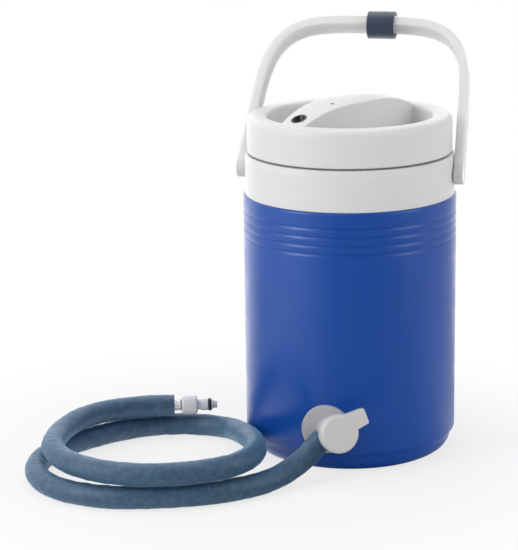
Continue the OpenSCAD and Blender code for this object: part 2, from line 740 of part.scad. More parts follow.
module screw_places() {
    for (a = [60, 120, 240, 300])
        rotate([0, 0, a]) translate([screw_circle_r, 0, 0]) children();
}

module at_jack() {
    translate([jack_x, 0, bridge_top(jack_x)]) rotate([0, -jack_slope, 0]) children();
}

module at_vent() {
    r = bridge_top(vent_x) - crown_z;
    translate([vent_x, vent_y, crown_z + sqrt(r * r - vent_y * vent_y)])
        rotate([-asin(vent_y / r), -vent_slope, 0]) children();
}

module lid_shell() {
    color(white) in_lid() difference() {
        union() {
            rotate_extrude($fn = 128) polygon(concat(
                [[skirt_in_r, lid_z0], [lid_r - 0.8, lid_z0], [lid_r, lid_z0 + 0.8]],
                arc([lid_r - lid_edge_r, rim_z - lid_edge_r], lid_edge_r, 0, 90),
                arc([well_r + rim_edge_r, rim_z - rim_edge_r], rim_edge_r, 90, 180),
                arc([well_r - well_fillet, well_floor_z + well_fillet], well_fillet, 0, -90),
                [[0, well_floor_z], [0, shell_floor_z], [lid_plug_r, shell_floor_z]],
                [[lid_plug_r, rim_z - lid_wall], [skirt_in_r, rim_z - lid_wall]]));
            bridge_block(0, shell_floor_z, lid_plug_r - 0.5);
            translate([0, 0, shell_floor_z - boss_drop]) screw_places() cylinder(r = 4, h = boss_drop + 1);
        }
        bridge_block(lid_wall, shell_floor_z - 1, well_r - 2);
        translate([0, 0, shell_floor_z - boss_drop - 1]) screw_places() cylinder(r = screw_r, h = boss_drop);
        at_jack() cylinder(r = jack_r + 0.1, h = 30, center = true);
        at_vent() cylinder(r = vent_r + 0.05, h = 20, center = true);
    }
}

module lid_base() {
    wall_top = shell_floor_z - 0.1;
    color(white) in_lid() difference() {
        union() {
            translate([0, 0, lid_base_z]) cylinder(r = lid_plug_r, h = lid_wall, $fn = 128);
            translate([0, 0, lid_base_z]) difference() {
                cylinder(r = lid_plug_r, h = wall_top - lid_base_z, $fn = 128);
                translate([0, 0, lid_wall]) cylinder(r = lid_plug_r - lid_wall, h = through, $fn = 128);
            }
            for (s = [-1, 1])
                translate([-lid_plug_r + 6, s * (bay_y + 1) - 1, lid_base_z])
                    cube([2 * lid_plug_r - 12, 2, wall_top - lid_base_z]);
            translate([0, 0, lid_base_z]) screw_places() cylinder(r = 4, h = shell_floor_z - boss_drop - lid_base_z);
        }
        translate([0, 0, lid_base_z - 1]) screw_places() {
            cylinder(r = screw_r + 0.3, h = 60);
            cylinder(r = 3.3, h = 3.2);
        }
        translate([pump_x, 0, lid_base_z - 1]) cylinder(r = 2.7, h = 10);
    }
}

module lid_foam() {
    color(foam_white) in_lid() translate([0, 0, lid_floor_z + slack]) difference() {
        cylinder(r = lid_plug_r - lid_wall - slack, h = plug_depth - lid_wall - 2 * slack, $fn = 96);
        cube([through, 2 * (bay_y + 2 + slack), through], center = true);
        translate([0, 0, -1]) screw_places() cylinder(r = 4.3, h = 60);
    }
}

module lid_screws() {
    color(steel) in_lid() screw_places() {
        translate([0, 0, lid_base_z + 0.4]) cylinder(r = 3, h = 1.8);
        translate([0, 0, lid_base_z + 2]) cylinder(r = screw_r - 0.03, h = plug_depth - 3.2);
    }
}

module lid_seal() {
    color(seal_grey) translate([0, 0, neck_top_z + slack / 2])
        ring(min(neck_out_r + 1.5, skirt_in_r - 1), mouth_r - 1.5, seal_t);
}

// ---- Pump in the lid ----

pump_x = motor_x - crank_gap - crank_t - rod_t / 2 - 0.6;
pump_floor = lid_floor_z + 1.5;
rod_window_r = crank_throw + crank_pin_r + 0.4;

module power_jack() {
    color(black) in_lid() at_jack() translate([0, 0, -jack_len - 0.4]) difference() {
        cylinder(r = jack_r, h = jack_len);
        translate([0, 0, 3]) cylinder(r = jack_bore_r, h = jack_len);
        translate([0, 0, -1]) cylinder(r = 1.05, h = 5);
        translate([0, 0, jack_len - 4]) cylinder(r1 = jack_bore_r, r2 = jack_r - 1, h = 4 + eps);
    }
}

module jack_pin() {
    color(steel) in_lid() at_jack() translate([0, 0, -jack_len - 2.4]) cylinder(r = 1, h = jack_len - 2);
}

module air_vent() {
    color(black) in_lid() at_vent() translate([0, 0, -3.2]) ring(vent_r, vent_r / 2, 3);
}

module circuit_board() {
    color(board_green) in_lid() {
        translate([-board_far, -board_w / 2, lid_floor_z + 4]) cube([board_len, board_w, 1.6]);
        for (x = [3, board_len - 3]) for (s = [-1, 1])
            translate([x - board_far, s * (board_w / 2 - 3), lid_floor_z]) cylinder(r = 2, h = 4.2);
        translate([8 - board_far, -6, lid_floor_z + 5.5]) cube([12, 10, 3]);
        translate([23 - board_far, 0, lid_floor_z + 5.5]) cylinder(r = 4, h = 8);
    }
}

module along_motor() {
    translate([motor_x, 0, motor_z]) rotate([0, 90, 0]) children();
}

module pump_bracket() {
    x0 = pump_x + pump_r + 0.8;
    long = motor_x + motor_len - 3 - x0;
    color(white) in_lid() difference() {
        translate([x0, -motor_r - 2, lid_floor_z]) cube([long, 2 * motor_r + 4, motor_h - 4]);
        along_motor() translate([0, 0, -1]) cylinder(r = motor_r + 0.1, h = motor_len + 2);
        translate([x0 + 3, 1 - motor_r, lid_floor_z + 3]) cube([long - 6, 2 * motor_r - 2, motor_h - motor_r - 7]);
    }
}

module pump_motor() {
    color(steel) in_lid() along_motor() {
        cylinder(r = motor_r, h = motor_len);
        translate([0, 0, -1.2]) cylinder(r = 3, h = 2);
        translate([0, 0, motor_len - 1]) cylinder(r = 3, h = 2.5);
    }
}

module motor_crank() {
    color(steel) in_lid() along_motor() {
        translate([0, 0, -crank_gap - crank_t]) cylinder(r = 5.5, h = crank_t);
        translate([0, crank_throw, -crank_gap - crank_t - rod_t - 0.8])
            cylinder(r = crank_pin_r, h = rod_t + 1);
    }
}

module pump_rod() {
    rod_low = pump_floor + pump_h + 1.6;
    color(white) in_lid() translate([pump_x, 0, 0]) difference() {
        union() {
            translate([-rod_t / 2, 0, motor_z]) rotate([0, 90, 0]) cylinder(r = rod_window_r + 2, h = rod_t);
            translate([-rod_t / 2, -3, rod_low]) cube([rod_t, 6, motor_z - rod_window_r - 1 - rod_low]);
        }
        translate([-rod_t, 0, motor_z]) rotate([0, 90, 0]) cylinder(r = rod_window_r, h = 2 * rod_t);
    }
}

module pump_diaphragm() {
    color(seal_grey) in_lid() translate([pump_x, 0, pump_floor + pump_h]) cylinder(r = pump_r, h = 1.6);
}

module pump_head() {
    color(white) in_lid() translate([pump_x, 0, pump_floor]) difference() {
        union() {
            cylinder(r = pump_r, h = pump_h);
            translate([0, 0, lid_base_z - pump_floor - 3]) cylinder(r = 2.6, h = pump_floor - lid_base_z + 4);
        }
        translate([0, 0, pump_h - 5]) cylinder(r = pump_r - 3, h = 6);
        translate([0, 0, lid_base_z - pump_floor - 4]) cylinder(r = 1.4, h = 30);
    }
}

module outlet_valve() {
    color(black) in_lid() translate([pump_x, 0, lid_base_z - 9]) difference() {
        union() {
            translate([0, 0, 4]) cylinder(r = 4, h = 5);
            cylinder(r1 = 2, r2 = 4, h = 4);
        }
        translate([0, 0, 5.9]) cylinder(r = 2.62, h = 10);
        translate([0, 0, -1]) cylinder(r = 0.6, h = 10);
    }
}

base_cap();
outer_jacket();
foam_insulation();
inner_liner();
collar();
handle_pins();
handle();
hose_clip();
valve_body();
wall_seal();
inner_seal();
bulkhead_nut();
inlet_strainer();
valve_plug();
plug_seals();
valve_knob();
hose_sleeve();
hose_tube();
coupling_body();
coupling_seal();
coupling_poppet();
coupling_spring();
lid_seal();
lid_shell();
lid_base();
lid_foam();
lid_screws();
power_jack();
jack_pin();
air_vent();
circuit_board();
pump_bracket();
pump_motor();
motor_crank();
pump_rod();
pump_diaphragm();
pump_head();
outlet_valve();
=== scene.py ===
"""Insulated therapy jug: screw lid with a pump, swing handle, foot valve and a foam-covered hose."""

import math

import bmesh
import bpy
from mathutils import Matrix, Vector, noise


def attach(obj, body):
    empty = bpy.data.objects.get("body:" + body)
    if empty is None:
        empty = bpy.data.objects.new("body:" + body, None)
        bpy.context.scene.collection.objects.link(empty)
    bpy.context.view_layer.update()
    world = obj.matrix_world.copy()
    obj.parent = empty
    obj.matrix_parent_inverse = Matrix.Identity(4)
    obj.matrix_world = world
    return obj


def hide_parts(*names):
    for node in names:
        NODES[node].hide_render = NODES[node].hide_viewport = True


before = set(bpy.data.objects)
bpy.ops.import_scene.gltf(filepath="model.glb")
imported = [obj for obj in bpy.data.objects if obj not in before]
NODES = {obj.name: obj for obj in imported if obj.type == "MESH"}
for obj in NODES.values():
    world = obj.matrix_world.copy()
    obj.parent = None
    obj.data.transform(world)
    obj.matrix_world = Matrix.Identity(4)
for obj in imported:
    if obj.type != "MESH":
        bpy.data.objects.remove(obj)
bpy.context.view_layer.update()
MM = 0.001

# ---------------------------------------------------------------- camera

CAMERA_AT = (0.35594, -1.76636, 0.61181)
CAMERA_RIGHT = Vector((0.971007, 0.238690, -0.013099))
CAMERA_UP = Vector((-0.046116, 0.240808, 0.969477))
LENS, SENSOR = 134.72, 36  # millimetres
NEAR_CLIP = 0.05


def make_camera():
    """Camera that was fitted to the photograph's outlines."""
    data = bpy.data.cameras.new("camera")
    data.lens = LENS
    data.sensor_width = SENSOR
    data.clip_start = NEAR_CLIP
    cam = bpy.data.objects.new("camera", data)
    back = CAMERA_RIGHT.cross(CAMERA_UP).normalized()
    turn = Matrix((CAMERA_RIGHT.normalized(), back.cross(CAMERA_RIGHT).normalized(), back)).transposed()
    cam.matrix_world = Matrix.Translation(CAMERA_AT) @ turn.to_4x4()
    bpy.context.scene.collection.objects.link(cam)
    bpy.context.scene.camera = cam


make_camera()

# ---------------------------------------------------------------- materials

NOISE_LOW, NOISE_HIGH = 0.3, 0.7  # the values of a noise lie mostly between these


def set_range(node, *numbers):
    """Set a Map Range node's span of values and the span that it is carried to."""
    for key, number in zip(("From Min", "From Max", "To Min", "To Max"), numbers):
        node.inputs[key].default_value = number


class Shader:
    """One procedural material, built from its Principled node outward."""

    def __init__(self, name, **sockets):
        self.mat = bpy.data.materials.new(name)
        self.mat.use_nodes = True
        self.nodes = self.mat.node_tree.nodes
        self.links = self.mat.node_tree.links
        self.main = self.nodes["Principled BSDF"]
        for key, value in sockets.items():
            self.main.inputs[key.replace("_", " ")].default_value = value
        self.place = self.nodes.new("ShaderNodeTexCoord").outputs["Object"]
        self.normal = None

    def noise(self, scale, detail=2.0, rough=0.5, stretch=None):
        node = self.nodes.new("ShaderNodeTexNoise")
        node.inputs["Scale"].default_value = scale
        node.inputs["Detail"].default_value = detail
        node.inputs["Roughness"].default_value = rough
        place = self.place
        if stretch:
            mapping = self.nodes.new("ShaderNodeMapping")
            mapping.inputs["Scale"].default_value = stretch
            self.links.new(place, mapping.inputs["Vector"])
            place = mapping.outputs["Vector"]
        self.links.new(place, node.inputs["Vector"])
        return node.outputs["Fac"]

    def voronoi(self, scale):
        node = self.nodes.new("ShaderNodeTexVoronoi")
        node.inputs["Scale"].default_value = scale
        self.links.new(self.place, node.inputs["Vector"])
        return node.outputs["Distance"]

    def spread(self, value, to_low, to_high):
        """Carry a noise to the span from to_low to to_high."""
        node = self.nodes.new("ShaderNodeMapRange")
        set_range(node, NOISE_LOW, NOISE_HIGH, to_low, to_high)
        self.links.new(value, node.inputs["Value"])
        return node.outputs["Result"]

    def ramp(self, value, stops):
        node = self.nodes.new("ShaderNodeValToRGB")
        ramp = node.color_ramp
        while len(ramp.elements) < len(stops):
            ramp.elements.new(0.5)
        for element, (at, colour) in zip(ramp.elements, stops):
            element.position = at
            element.color = (*colour, 1)
        self.links.new(value, node.inputs["Fac"])
        return node.outputs["Color"]

    def bump(self, height, strength, distance):
        node = self.nodes.new("ShaderNodeBump")
        node.inputs["Strength"].default_value = strength
        node.inputs["Distance"].default_value = distance
        self.links.new(height, node.inputs["Height"])
        if self.normal:
            self.links.new(self.normal, node.inputs["Normal"])
        self.normal = node.outputs["Normal"]
        self.links.new(self.normal, self.main.inputs["Normal"])

    def drive(self, socket, value):
        self.links.new(value, self.main.inputs[socket])


def tint(colour, k):
    return tuple(min(1, c * k) for c in colour)


def toned(colour, dark, light):
    """Ramp stops that carry a noise from the colour made darker to the colour made lighter."""
    return [(NOISE_LOW, tint(colour, dark)), (NOISE_HIGH, tint(colour, light))]


def moulded(name, colour, rough=0.34, grain=1400, grain_depth=0.15, shade=0.05, **more):
    """Moulded plastic: fine grain, slow changes of gloss and a little of tone."""
    s = Shader(name, **more)
    slow = s.noise(9, 3)
    s.drive("Base Color", s.ramp(slow, toned(colour, 1 - shade, 1 + shade)))
    s.drive("Roughness", s.spread(s.noise(60, 4), rough - 0.03, rough + 0.05))
    s.bump(s.noise(45, 2), 0.05, 0.0006)
    s.bump(s.noise(grain, 2), grain_depth, 0.0001)
    return s.mat


FOAM_SHEEN = (0.4, 0.72, 1, 1)


def foam_skin(name, dark, mid, light):
    """Closed-cell foam: soft mottling, fine pits and a little sheen."""
    s = Shader(name, Sheen_Weight=0.8, Sheen_Roughness=0.3, Sheen_Tint=FOAM_SHEEN, Specular_IOR_Level=0.7)
    mottle = s.noise(170, 6, 0.68)
    s.drive("Base Color", s.ramp(mottle, [(0.34, dark), (0.5, mid), (0.68, light)]))
    s.drive("Roughness", s.spread(s.noise(60, 3), 0.48, 0.62))
    s.bump(s.noise(130, 3), 0.3, 0.0008)
    s.bump(s.voronoi(1100), 0.35, 0.0003)
    return s.mat


def rubbery(name, colour, rough=0.55):
    """Rubber: dull, with a fine grain."""
    s = Shader(name, Specular_IOR_Level=0.4)
    s.drive("Base Color", s.ramp(s.noise(30, 3), toned(colour, 0.85, 1.15)))
    s.drive("Roughness", s.spread(s.noise(80, 3), rough - 0.08, rough + 0.08))
    s.bump(s.noise(900, 2), 0.15, 0.0001)
    return s.mat


def metal(name, colour, rough=0.3):
    """Steel, drawn a little along its length."""
    s = Shader(name, Metallic=1.0)
    s.drive("Base Color", s.ramp(s.noise(40, 3), toned(colour, 0.92, 1.06)))
    s.drive("Roughness", s.spread(s.noise(300, 4, 0.6, (1, 1, 12)), rough - 0.08, rough + 0.1))
    s.bump(s.noise(500, 3, 0.6, (1, 1, 14)), 0.08, 0.0001)
    return s.mat


WHITE = (0.80, 0.80, 0.80)
M = {
    "blue": moulded("blue_plastic", (0.0048, 0.075, 0.395), 0.31, 900, 0.02, 0.04),
    "white": moulded("white_plastic", WHITE, 0.38, 1500, 0.12, 0.02),
    "lid_white": moulded("lid_plastic", WHITE, 0.42, 1200, 0.2, 0.02),
    "handle_white": moulded("handle_plastic", (0.8, 0.8, 0.795), 0.42, 1200, 0.16, 0.02,
                            Subsurface_Weight=0.8, Subsurface_Scale=0.016, Subsurface_Radius=(1, 1, 1)),
    "liner": moulded("liner_plastic", (0.84, 0.84, 0.82), 0.32, 1800, 0.06, 0.02),
    # valve housing: a white made darker, partly its greyer plastic and partly painted shade for the knob's
    # shadow on the flange
    "valve_white_and_painted_shade": moulded("valve_plastic_and_painted_shade", (0.56, 0.55, 0.575), 0.38, 1500, 0.12, 0.03),
    "knob_white": moulded("knob_plastic", (0.66, 0.65, 0.65), 0.36, 1500, 0.12, 0.03),
    "navy": moulded("navy_plastic", (0.03, 0.048, 0.085), 0.4, 1300, 0.25, 0.1),
    "black": moulded("black_plastic", (0.012, 0.012, 0.013), 0.35, 1500, 0.12, 0.2),
    # air vent: its mid grey is painted shade, standing for the soft shadow in the vent
    "vent_painted_shade": moulded("vent_painted_shade_grey", (0.3, 0.3, 0.31), 0.4, 1200, 0.1, 0.1),
    "foam": foam_skin("hose_foam", (0.025, 0.076, 0.148), (0.032, 0.094, 0.177),
                      (0.05, 0.13, 0.225)),
    "pale_foam": foam_skin("wall_foam", (0.6, 0.56, 0.42), (0.78, 0.75, 0.62), (0.9, 0.88, 0.8)),
    "seal": rubbery("seal_rubber", (0.07, 0.072, 0.078)),
    "black_rubber": rubbery("black_rubber", (0.012, 0.012, 0.013), 0.42),
    "steel": metal("steel", (0.62, 0.63, 0.65)),
    "board": moulded("board_lacquer", (0.02, 0.13, 0.05), 0.32, 900, 0.1, 0.15),
}


def clear_tube():
    """Clear plastic that shows at the hose's far end."""
    s = Shader("clear_tube", Transmission_Weight=0.75, IOR=1.45, Coat_Weight=0.3)
    s.drive("Base Color", s.ramp(s.noise(40, 2), [(0.3, (0.84, 0.88, 0.93)), (0.7, (0.93, 0.95, 0.97))]))
    s.drive("Roughness", s.spread(s.noise(120, 3), 0.12, 0.24))
    s.bump(s.noise(300, 2), 0.08, 0.0002)
    return s.mat


M["tube"] = clear_tube()

NODE_FINISH = {
    "blue": ["base_cap", "outer_jacket"],
    "white": ["collar", "bulkhead_nut", "inlet_strainer", "valve_plug", "coupling_body",
              "coupling_poppet", "pump_bracket", "pump_rod", "pump_head"],
    "valve_white_and_painted_shade": ["valve_body"],
    "knob_white": ["valve_knob"],
    "lid_white": ["lid_shell", "lid_base"],
    "handle_white": ["handle"],
    "liner": ["inner_liner"],
    "navy": ["hose_clip"],
    "black": ["power_jack"],
    "vent_painted_shade": ["air_vent"],
    "foam": ["hose_sleeve"],
    "tube": ["hose_tube"],
    "pale_foam": ["foam_insulation", "lid_foam"],
    "seal": ["wall_seal", "inner_seal", "plug_seals", "lid_seal", "pump_diaphragm"],
    "black_rubber": ["coupling_seal", "outlet_valve"],
    "steel": ["handle_pins", "coupling_spring", "lid_screws", "jack_pin", "pump_motor", "motor_crank"],
    "board": ["circuit_board"],
}
for finish, names in NODE_FINISH.items():
    for name in names:
        NODES[name].data.materials.clear()
        NODES[name].data.materials.append(M[finish])

# ---------------------------------------------------------------- mesh helpers


MERGE = 1e-7      # metres: points of a made mesh that are one
CAD_MERGE = 2e-6  # metres: the same for a mesh from the frame
ON_AXIS = 1e-6
ARC_STEP = 0.26   # radians between the points of a rounded corner


def new_piece(name, mesh, mat, body, replaced):
    """Smooth-shaded object that rides on body and stands for the replaced nodes."""
    obj = bpy.data.objects.new(name, mesh)
    bpy.context.scene.collection.objects.link(obj)
    mesh.materials.clear()
    mesh.materials.append(mat)
    for poly in mesh.polygons:
        poly.use_smooth = True
    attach(obj, body)
    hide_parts(*replaced)
    return obj


def mesh_of(name, points, faces):
    """Closed mesh from points in metres, with its faces turned outward."""
    mesh = bpy.data.meshes.new(name)
    mesh.from_pydata([tuple(p) for p in points], [], faces)
    bm = bmesh.new()
    bm.from_mesh(mesh)
    bmesh.ops.remove_doubles(bm, verts=bm.verts, dist=MERGE)
    bmesh.ops.recalc_face_normals(bm, faces=bm.faces)
    bm.to_mesh(mesh)
    bm.free()
    return mesh


def rounded(corners):
    """Closed outline from (x, y, radius) corners, each corner turned on its radius."""
    out = []
    count = len(corners)
    for i, (x, y, r) in enumerate(corners):
        p = Vector((x, y))
        to_a = Vector(corners[i - 1][:2]) - p
        to_b = Vector(corners[(i + 1) % count][:2]) - p
        if r <= 0:
            out.append((x, y))
            continue
        half = to_a.angle(to_b) / 2
        reach = min(r / math.tan(half), 0.48 * to_a.length, 0.48 * to_b.length)
        turn = reach * math.tan(half)
        a, b = to_a.normalized(), to_b.normalized()
        centre = p + (a + b).normalized() * (turn / math.sin(half))
        first, last = p + a * reach - centre, p + b * reach - centre
        angle = math.atan2(first.x * last.y - first.y * last.x, first.dot(last))
        steps = max(2, round(abs(angle) / ARC_STEP))
        start = math.atan2(first.y, first.x)
        for k in range(steps + 1):
            t = start + angle * k / steps
            out.append((centre.x + turn * math.cos(t), centre.y + turn * math.sin(t)))
    return out


def revolved(name, outline, segments, place=None):
    """Closed outline of (radius, height) in millimetres, turned about Z."""
    points, faces = [], []
    count = len(outline)
    for k in range(segments):
        a = 2 * math.pi * k / segments
        points += [(r * math.cos(a) * MM, r * math.sin(a) * MM, z * MM) for r, z in outline]
    for k in range(segments):
        n = (k + 1) % segments
        for i in range(count):
            j = (i + 1) % count
            if outline[i][0] < ON_AXIS and outline[j][0] < ON_AXIS:
                continue
            quad = [k * count + i, n * count + i, n * count + j, k * count + j]
            if outline[i][0] < ON_AXIS:
                quad = [quad[0], quad[2], quad[3]]
            elif outline[j][0] < ON_AXIS:
                quad = [quad[0], quad[1], quad[2]]
            faces.append(quad)
    mesh = mesh_of(name, points, faces)
    if place is not None:
        mesh.transform(place)
    return mesh


def softened(node, name, voxel, rounds):
    """The CAD node's form with its edges turned, as it comes out of a mould; voxel in millimetres."""
    mesh = NODES[node].data.copy()
    bm = bmesh.new()
    bm.from_mesh(mesh)
    bmesh.ops.remove_doubles(bm, verts=bm.verts, dist=CAD_MERGE)
    bm.to_mesh(mesh)
    bm.free()
    obj = bpy.data.objects.new(name + "_form", mesh)
    bpy.context.scene.collection.objects.link(obj)
    remesh = obj.modifiers.new("remesh", "REMESH")
    remesh.mode = "VOXEL"
    remesh.voxel_size = voxel * MM
    smooth = obj.modifiers.new("smooth", "SMOOTH")
    smooth.factor = 0.5
    smooth.iterations = rounds
    made = obj.evaluated_get(bpy.context.evaluated_depsgraph_get())
    result = bpy.data.meshes.new_from_object(made)
    bpy.data.objects.remove(obj)
    result.name = name
    return result


# ---------------------------------------------------------------- hose

HOSE_R, TUBE_R, TUBE_BORE = 10.0, 5.2, 3.4  # millimetres, as all the numbers of the hose
SKIN_ALLOWANCE, BORE_PLAY = 0.12, 0.3       # the foam's skin keeps inside its solid and clear of the tube
BARE = 6.4       # length of clear tube between foam and coupling
STRAIGHT = 20.0  # straight stretch at each end of the hose
END_STEPS = 8    # points along such a stretch
LINE_STEPS = 12  # points between two knots of the route
FOAM_STEP, FOAM_SIDES, FOAM_ROUGH = 1.5, 48, 0.35
TUBE_STEP, TUBE_SIDES = 4, 24
ROUTE = [(-27.5, -132, 14), (-41, -152, 10.4), (-58, -172, 10.2), (-81, -190, 10.2), (-119, -207, 10.2),
         (-162, -217, 10.2), (-205, -209, 10.2), (-236, -184, 10.2), (-250, -148, 10.2), (-246, -112, 10.2),
         (-233, -82, 10.2), (-213, -54, 10.2), (-187, -30, 10.2), (-158, -17, 10.2), (-129, -16.5, 10.5),
         (-105.5, -29, 13), (-91, -54, 19), (-77.5, -80, 25), (-64, -108.5, 29), (-56, -137, 31),
         (-59, -162, 31), (-73, -184, 31), (-101, -204, 31), (-136, -214.5, 31), (-173, -212, 31),
         (-207, -194, 31), (-229, -166, 31), (-236.5, -137, 31), (-237, -106, 31), (-229.5, -75, 31),
         (-209.5, -49, 31)]
HOSE_END = Vector((-160, -26, 31))
END_DIR = Vector((0.958, 0.287, 0)).normalized()
SWING, RISE = math.radians(29.5), math.radians(9.8)
VALVE_AT = Vector((-1.8, -95, 42))
VALVE_OUT = Vector((math.sin(SWING) * math.cos(RISE), -math.cos(SWING) * math.cos(RISE), math.sin(RISE)))
VALVE_RIGHT = Vector((math.cos(SWING), math.sin(SWING), 0))
VALVE_UP = VALVE_RIGHT.cross(-VALVE_OUT)
OUTLET = math.radians(222)  # direction of the hose outlet round the valve's axis
OUTLET_AT, OUTLET_REACH = 12, 10  # how far out along the valve it sits, and how far it reaches sideways
OUTLET_DIR = math.cos(OUTLET) * VALVE_RIGHT + math.sin(OUTLET) * VALVE_UP
HOSE_START = VALVE_AT + OUTLET_AT * VALVE_OUT + OUTLET_REACH * OUTLET_DIR


def hose_line():
    """Points of the hose's middle line, in millimetres."""
    knots = [HOSE_START, HOSE_START + STRAIGHT * OUTLET_DIR, *map(Vector, ROUTE),
             HOSE_END - STRAIGHT * END_DIR, HOSE_END]
    line = [knots[0] + (knots[1] - knots[0]) * k / END_STEPS for k in range(END_STEPS)]
    for i in range(1, len(knots) - 2):
        a, b, c, d = knots[i - 1], knots[i], knots[i + 1], knots[i + 2]
        for k in range(LINE_STEPS):
            t = k / LINE_STEPS
            line.append(0.5 * (2 * b + t * (c - a) + t * t * (2 * a - 5 * b + 4 * c - d)
                               + t ** 3 * (3 * b - a - 3 * c + d)))
    line += [knots[-2] + (knots[-1] - knots[-2]) * k / END_STEPS for k in range(END_STEPS + 1)]
    return line


def unevenness(point):
    """Broad waves of the foam's skin less its finer pits, for a point in millimetres."""
    return noise.fractal(point * 0.12, 0.9, 2.1, 3) - 0.25 * abs(noise.noise(point * 0.4))


def tube_mesh(name, line, outer, inner, sides, rough=0.0):
    """Annular tube along line; rough lifts and sinks the outer skin a little, as foam does."""
    count = len(line)
    frames = []
    for i, p in enumerate(line):
        t = (line[min(i + 1, count - 1)] - line[max(i - 1, 0)]).normalized()
        side = t.cross(Vector((0, 0, 1))).normalized()
        frames.append((p, side, side.cross(t)))
    points = []
    for radius, lift in ((outer, rough), (inner, 0)):
        for p, side, up in frames:
            for k in range(sides):
                a = 2 * math.pi * k / sides
                out = math.cos(a) * side + math.sin(a) * up
                q = p + radius * out
                if lift:
                    q += out * lift * unevenness(q)
                points.append(q * MM)
    faces = []
    skin = count * sides
    for i in range(count - 1):
        for k in range(sides):
            a, b = i * sides + k, i * sides + (k + 1) % sides
            faces.append((a, a + sides, b + sides, b))
            faces.append((skin + a, skin + b, skin + b + sides, skin + a + sides))
    last = (count - 1) * sides
    for k in range(sides):
        a, b = k, (k + 1) % sides
        faces.append((a, b, skin + b, skin + a))
        faces.append((last + a, skin + last + a, skin + last + b, last + b))
    return mesh_of(name, points, faces)


def resampled(line, step):
    """Points at even spacing along line."""
    out = [line[0]]
    need = step
    for a, b in zip(line, line[1:]):
        length = (b - a).length
        done = 0.0
        while length - done >= need:
            done += need
            out.append(a + (b - a) * (done / length))
            need = step
        need -= length - done
    if (out[-1] - line[-1]).length > 0.3 * step:
        out.append(line[-1])
    else:
        out[-1] = line[-1]
    return out


hose_points = hose_line()
sleeve_mesh = tube_mesh("hose_sleeve_foam", resampled(hose_points, FOAM_STEP),
                        HOSE_R - SKIN_ALLOWANCE, TUBE_R + BORE_PLAY, FOAM_SIDES, FOAM_ROUGH)
sleeve = new_piece("hose_sleeve_foam", sleeve_mesh, M["foam"], "jug", ["hose_sleeve"])
tube_points = hose_points[:-1] + [HOSE_END, HOSE_END + BARE * END_DIR]
inner_mesh = tube_mesh("hose_inner_tube", resampled(tube_points, TUBE_STEP), TUBE_R, TUBE_BORE,
                       TUBE_SIDES)
tube = new_piece("hose_inner_tube", inner_mesh, M["tube"], "jug", ["hose_tube"])

# ---------------------------------------------------------------- coupling


def along(start, direction):
    """Matrix that carries +Z at the origin to direction at start (millimetres)."""
    turn = Vector((0, 0, 1)).rotation_difference(direction.normalized()).to_matrix().to_4x4()
    return Matrix.Translation(start * MM) @ turn


COUPLING = along(HOSE_END + BARE * END_DIR, END_DIR)
COUPLING_SEGMENTS = 64
COUPLING_SECTION = [  # radius, height and corner radius of each corner
    (1.9, 0, 0.3), (3.9, 0, 0.3), (4.6, 0.3, 0.3), (7.6, 0.3, 0.8), (8.5, 1.8, 1.5), (8.5, 13.2, 1.5),
    (7.7, 14.7, 0.8), (5.0, 14.9, 0.6), (4.4, 16.4, 0.8), (4.4, 17.4, 0.5), (5.3, 18.4, 0.5),
    (5.3, 24.5, 0.3), (3.4, 24.55, 0.2), (3.4, 27.6, 0.2), (5.2, 27.65, 0.3), (5.2, 28.7, 0.4),
    (3.6, 29.0, 0.4), (3.4, 29.4, 0.3), (3.4, 32.6, 0.4), (3.0, 33.0, 0.2), (2.7, 33.0, 0.1),
    (2.7, 7.0, 0.1), (1.9, 7.0, 0.1)]
RING_R, RING_AT = 4.7, 26.1              # middle of the ring's section
RING_HALF_W, RING_HALF_H = 1.25, 1.45
RING_POINTS = 20

shell_mesh = revolved("coupling_shell", rounded(COUPLING_SECTION), COUPLING_SEGMENTS, COUPLING)
coupling = new_piece("coupling_shell", shell_mesh, M["white"], "jug", ["coupling_body"])
ring_angles = [t * math.pi / (RING_POINTS // 2) for t in range(RING_POINTS)]
ring_section = [(RING_R + RING_HALF_W * math.cos(a), RING_AT + RING_HALF_H * math.sin(a))
                for a in ring_angles]
ring_mesh = revolved("coupling_o_ring", ring_section, COUPLING_SEGMENTS, COUPLING)
ring = new_piece("coupling_o_ring", ring_mesh, M["black_rubber"], "jug", ["coupling_seal"])

# ---------------------------------------------------------------- blue wall

JUG_R, JUG_BOTTOM, JUG_TOP = 95.0, 18.0, 233.5
WALL_IN_R, NECK_IN_R = 92.2, 87.5
LIP_H, LIP_SLOPE_H = 3, 6  # below the wall's top, where its inward lip ends and where its slope ends
FOOT_IN_ROUND, FOOT_ROUND, TOP_ROUND = 0.3, 1.0, 2.0
GROOVE_COUNT, GROOVE_PITCH, GROOVE_DROP = 4, 7.6, 14.3
GROOVE_W, GROOVE_D, GROOVE_ROLL, GROOVE_STEPS = 4.6, 0.9, 1.5, 12
VALVE_HOLE_R, VALVE_SEAT_R = 8.6, 14.0
HOLE_FROM, SEAT_FROM, CUT_TO = 60, 93.2, 130  # distances from the jug's axis
CUTTER_SEGMENTS, WALL_SEGMENTS = 64, 192
WALL_SHARP = math.radians(32)


